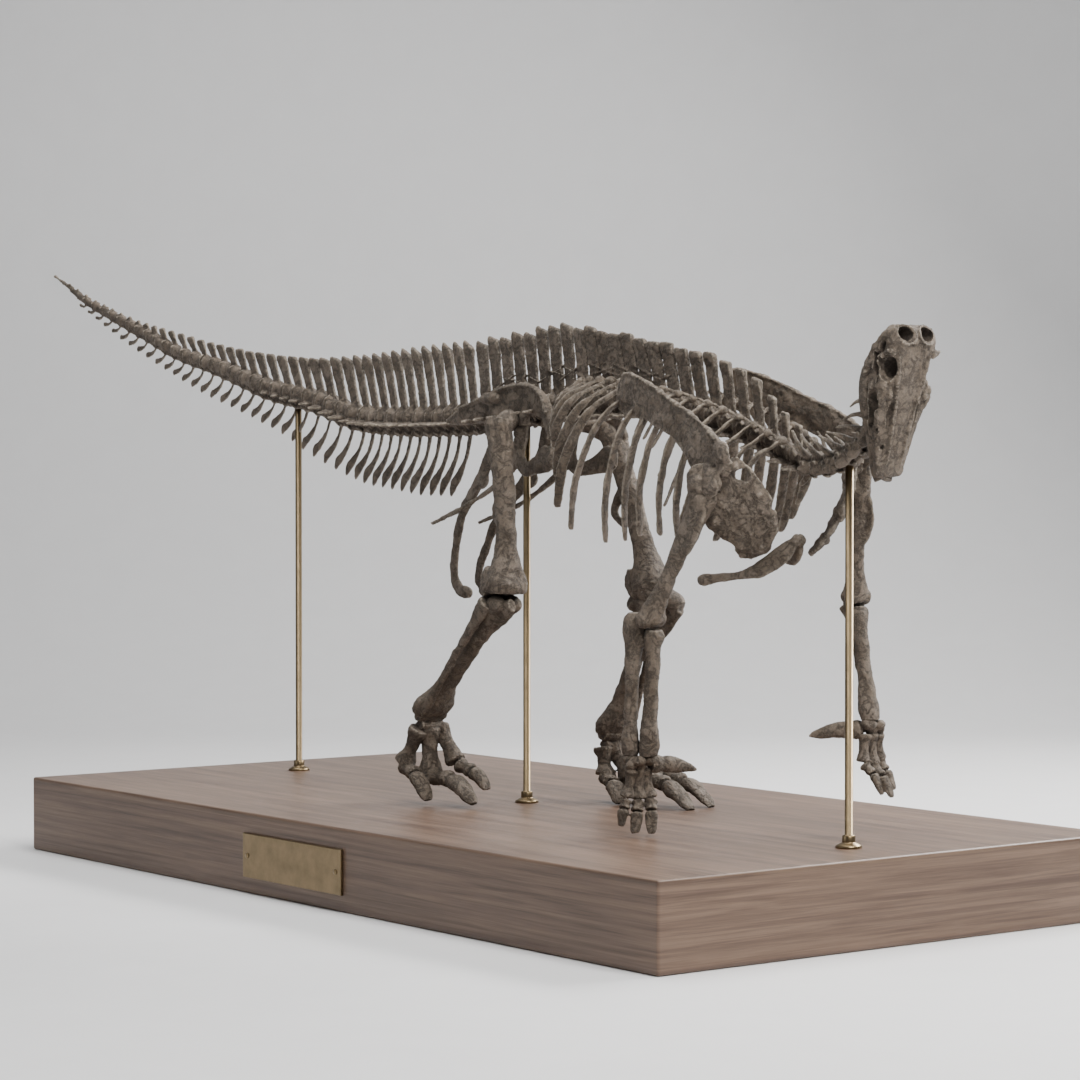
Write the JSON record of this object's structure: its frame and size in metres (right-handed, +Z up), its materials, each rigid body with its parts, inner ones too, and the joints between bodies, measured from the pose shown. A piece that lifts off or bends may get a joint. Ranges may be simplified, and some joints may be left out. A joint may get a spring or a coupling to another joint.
{
  "type": "mounted ornithopod skeleton",
  "caption": "Life-size mounted skeleton of a large plant-eating dinosaur on all fours, tail raised, held by slim brass rods on a low wooden base with a blank plaque.",
  "frame": {"origin": "centre of the underside of the wooden base, on the floor", "axes": "+X from the tail to the head, +Y to the animal's left, +Z up"},
  "size_m": [8.967, 3.1966, 3.8155],
  "materials": {
    "bone": "rough grey-brown fossil bone or its cast, matt, darker in the hollows",
    "wood": "brown veneer with a fine straight grain, half gloss",
    "brass": "aged brass, satin"
  },
  "bodies": {
    "root": {"stand_base": "wood", "stand_plaque": "brass", "stand_screw_rear": "brass", "stand_screw_front": "brass", "stand_rod_tail": "brass", "stand_rod_hip": "brass", "stand_rod_neck": "brass", "tail_end": "bone", "tail_middle": "bone", "tail_base": "bone", "sacrum": "bone", "neck": "bone", "skull": "bone", "jaw": "bone", "ribcage_right": "bone", "ribcage_left": "bone", "scapula_right": "bone", "scapula_left": "bone", "coracoid_right": "bone", "coracoid_left": "bone", "sternal_right": "bone", "sternal_left": "bone", "ilium_right": "bone", "ilium_left": "bone", "ischium_right": "bone", "ischium_left": "bone", "pubis_right": "bone", "pubis_left": "bone", "femur_right": "bone", "femur_left": "bone", "tibia_right": "bone", "tibia_left": "bone", "fibula_right": "bone", "fibula_left": "bone", "foot_right": "bone", "foot_left": "bone", "humerus_right": "bone", "humerus_left": "bone", "ulna_right": "bone", "ulna_left": "bone", "radius_right": "bone", "radius_left": "bone", "hand_right": "bone", "hand_left": "bone", "thumb_right": "bone", "thumb_left": "bone"}
  },
  "joints": []
}
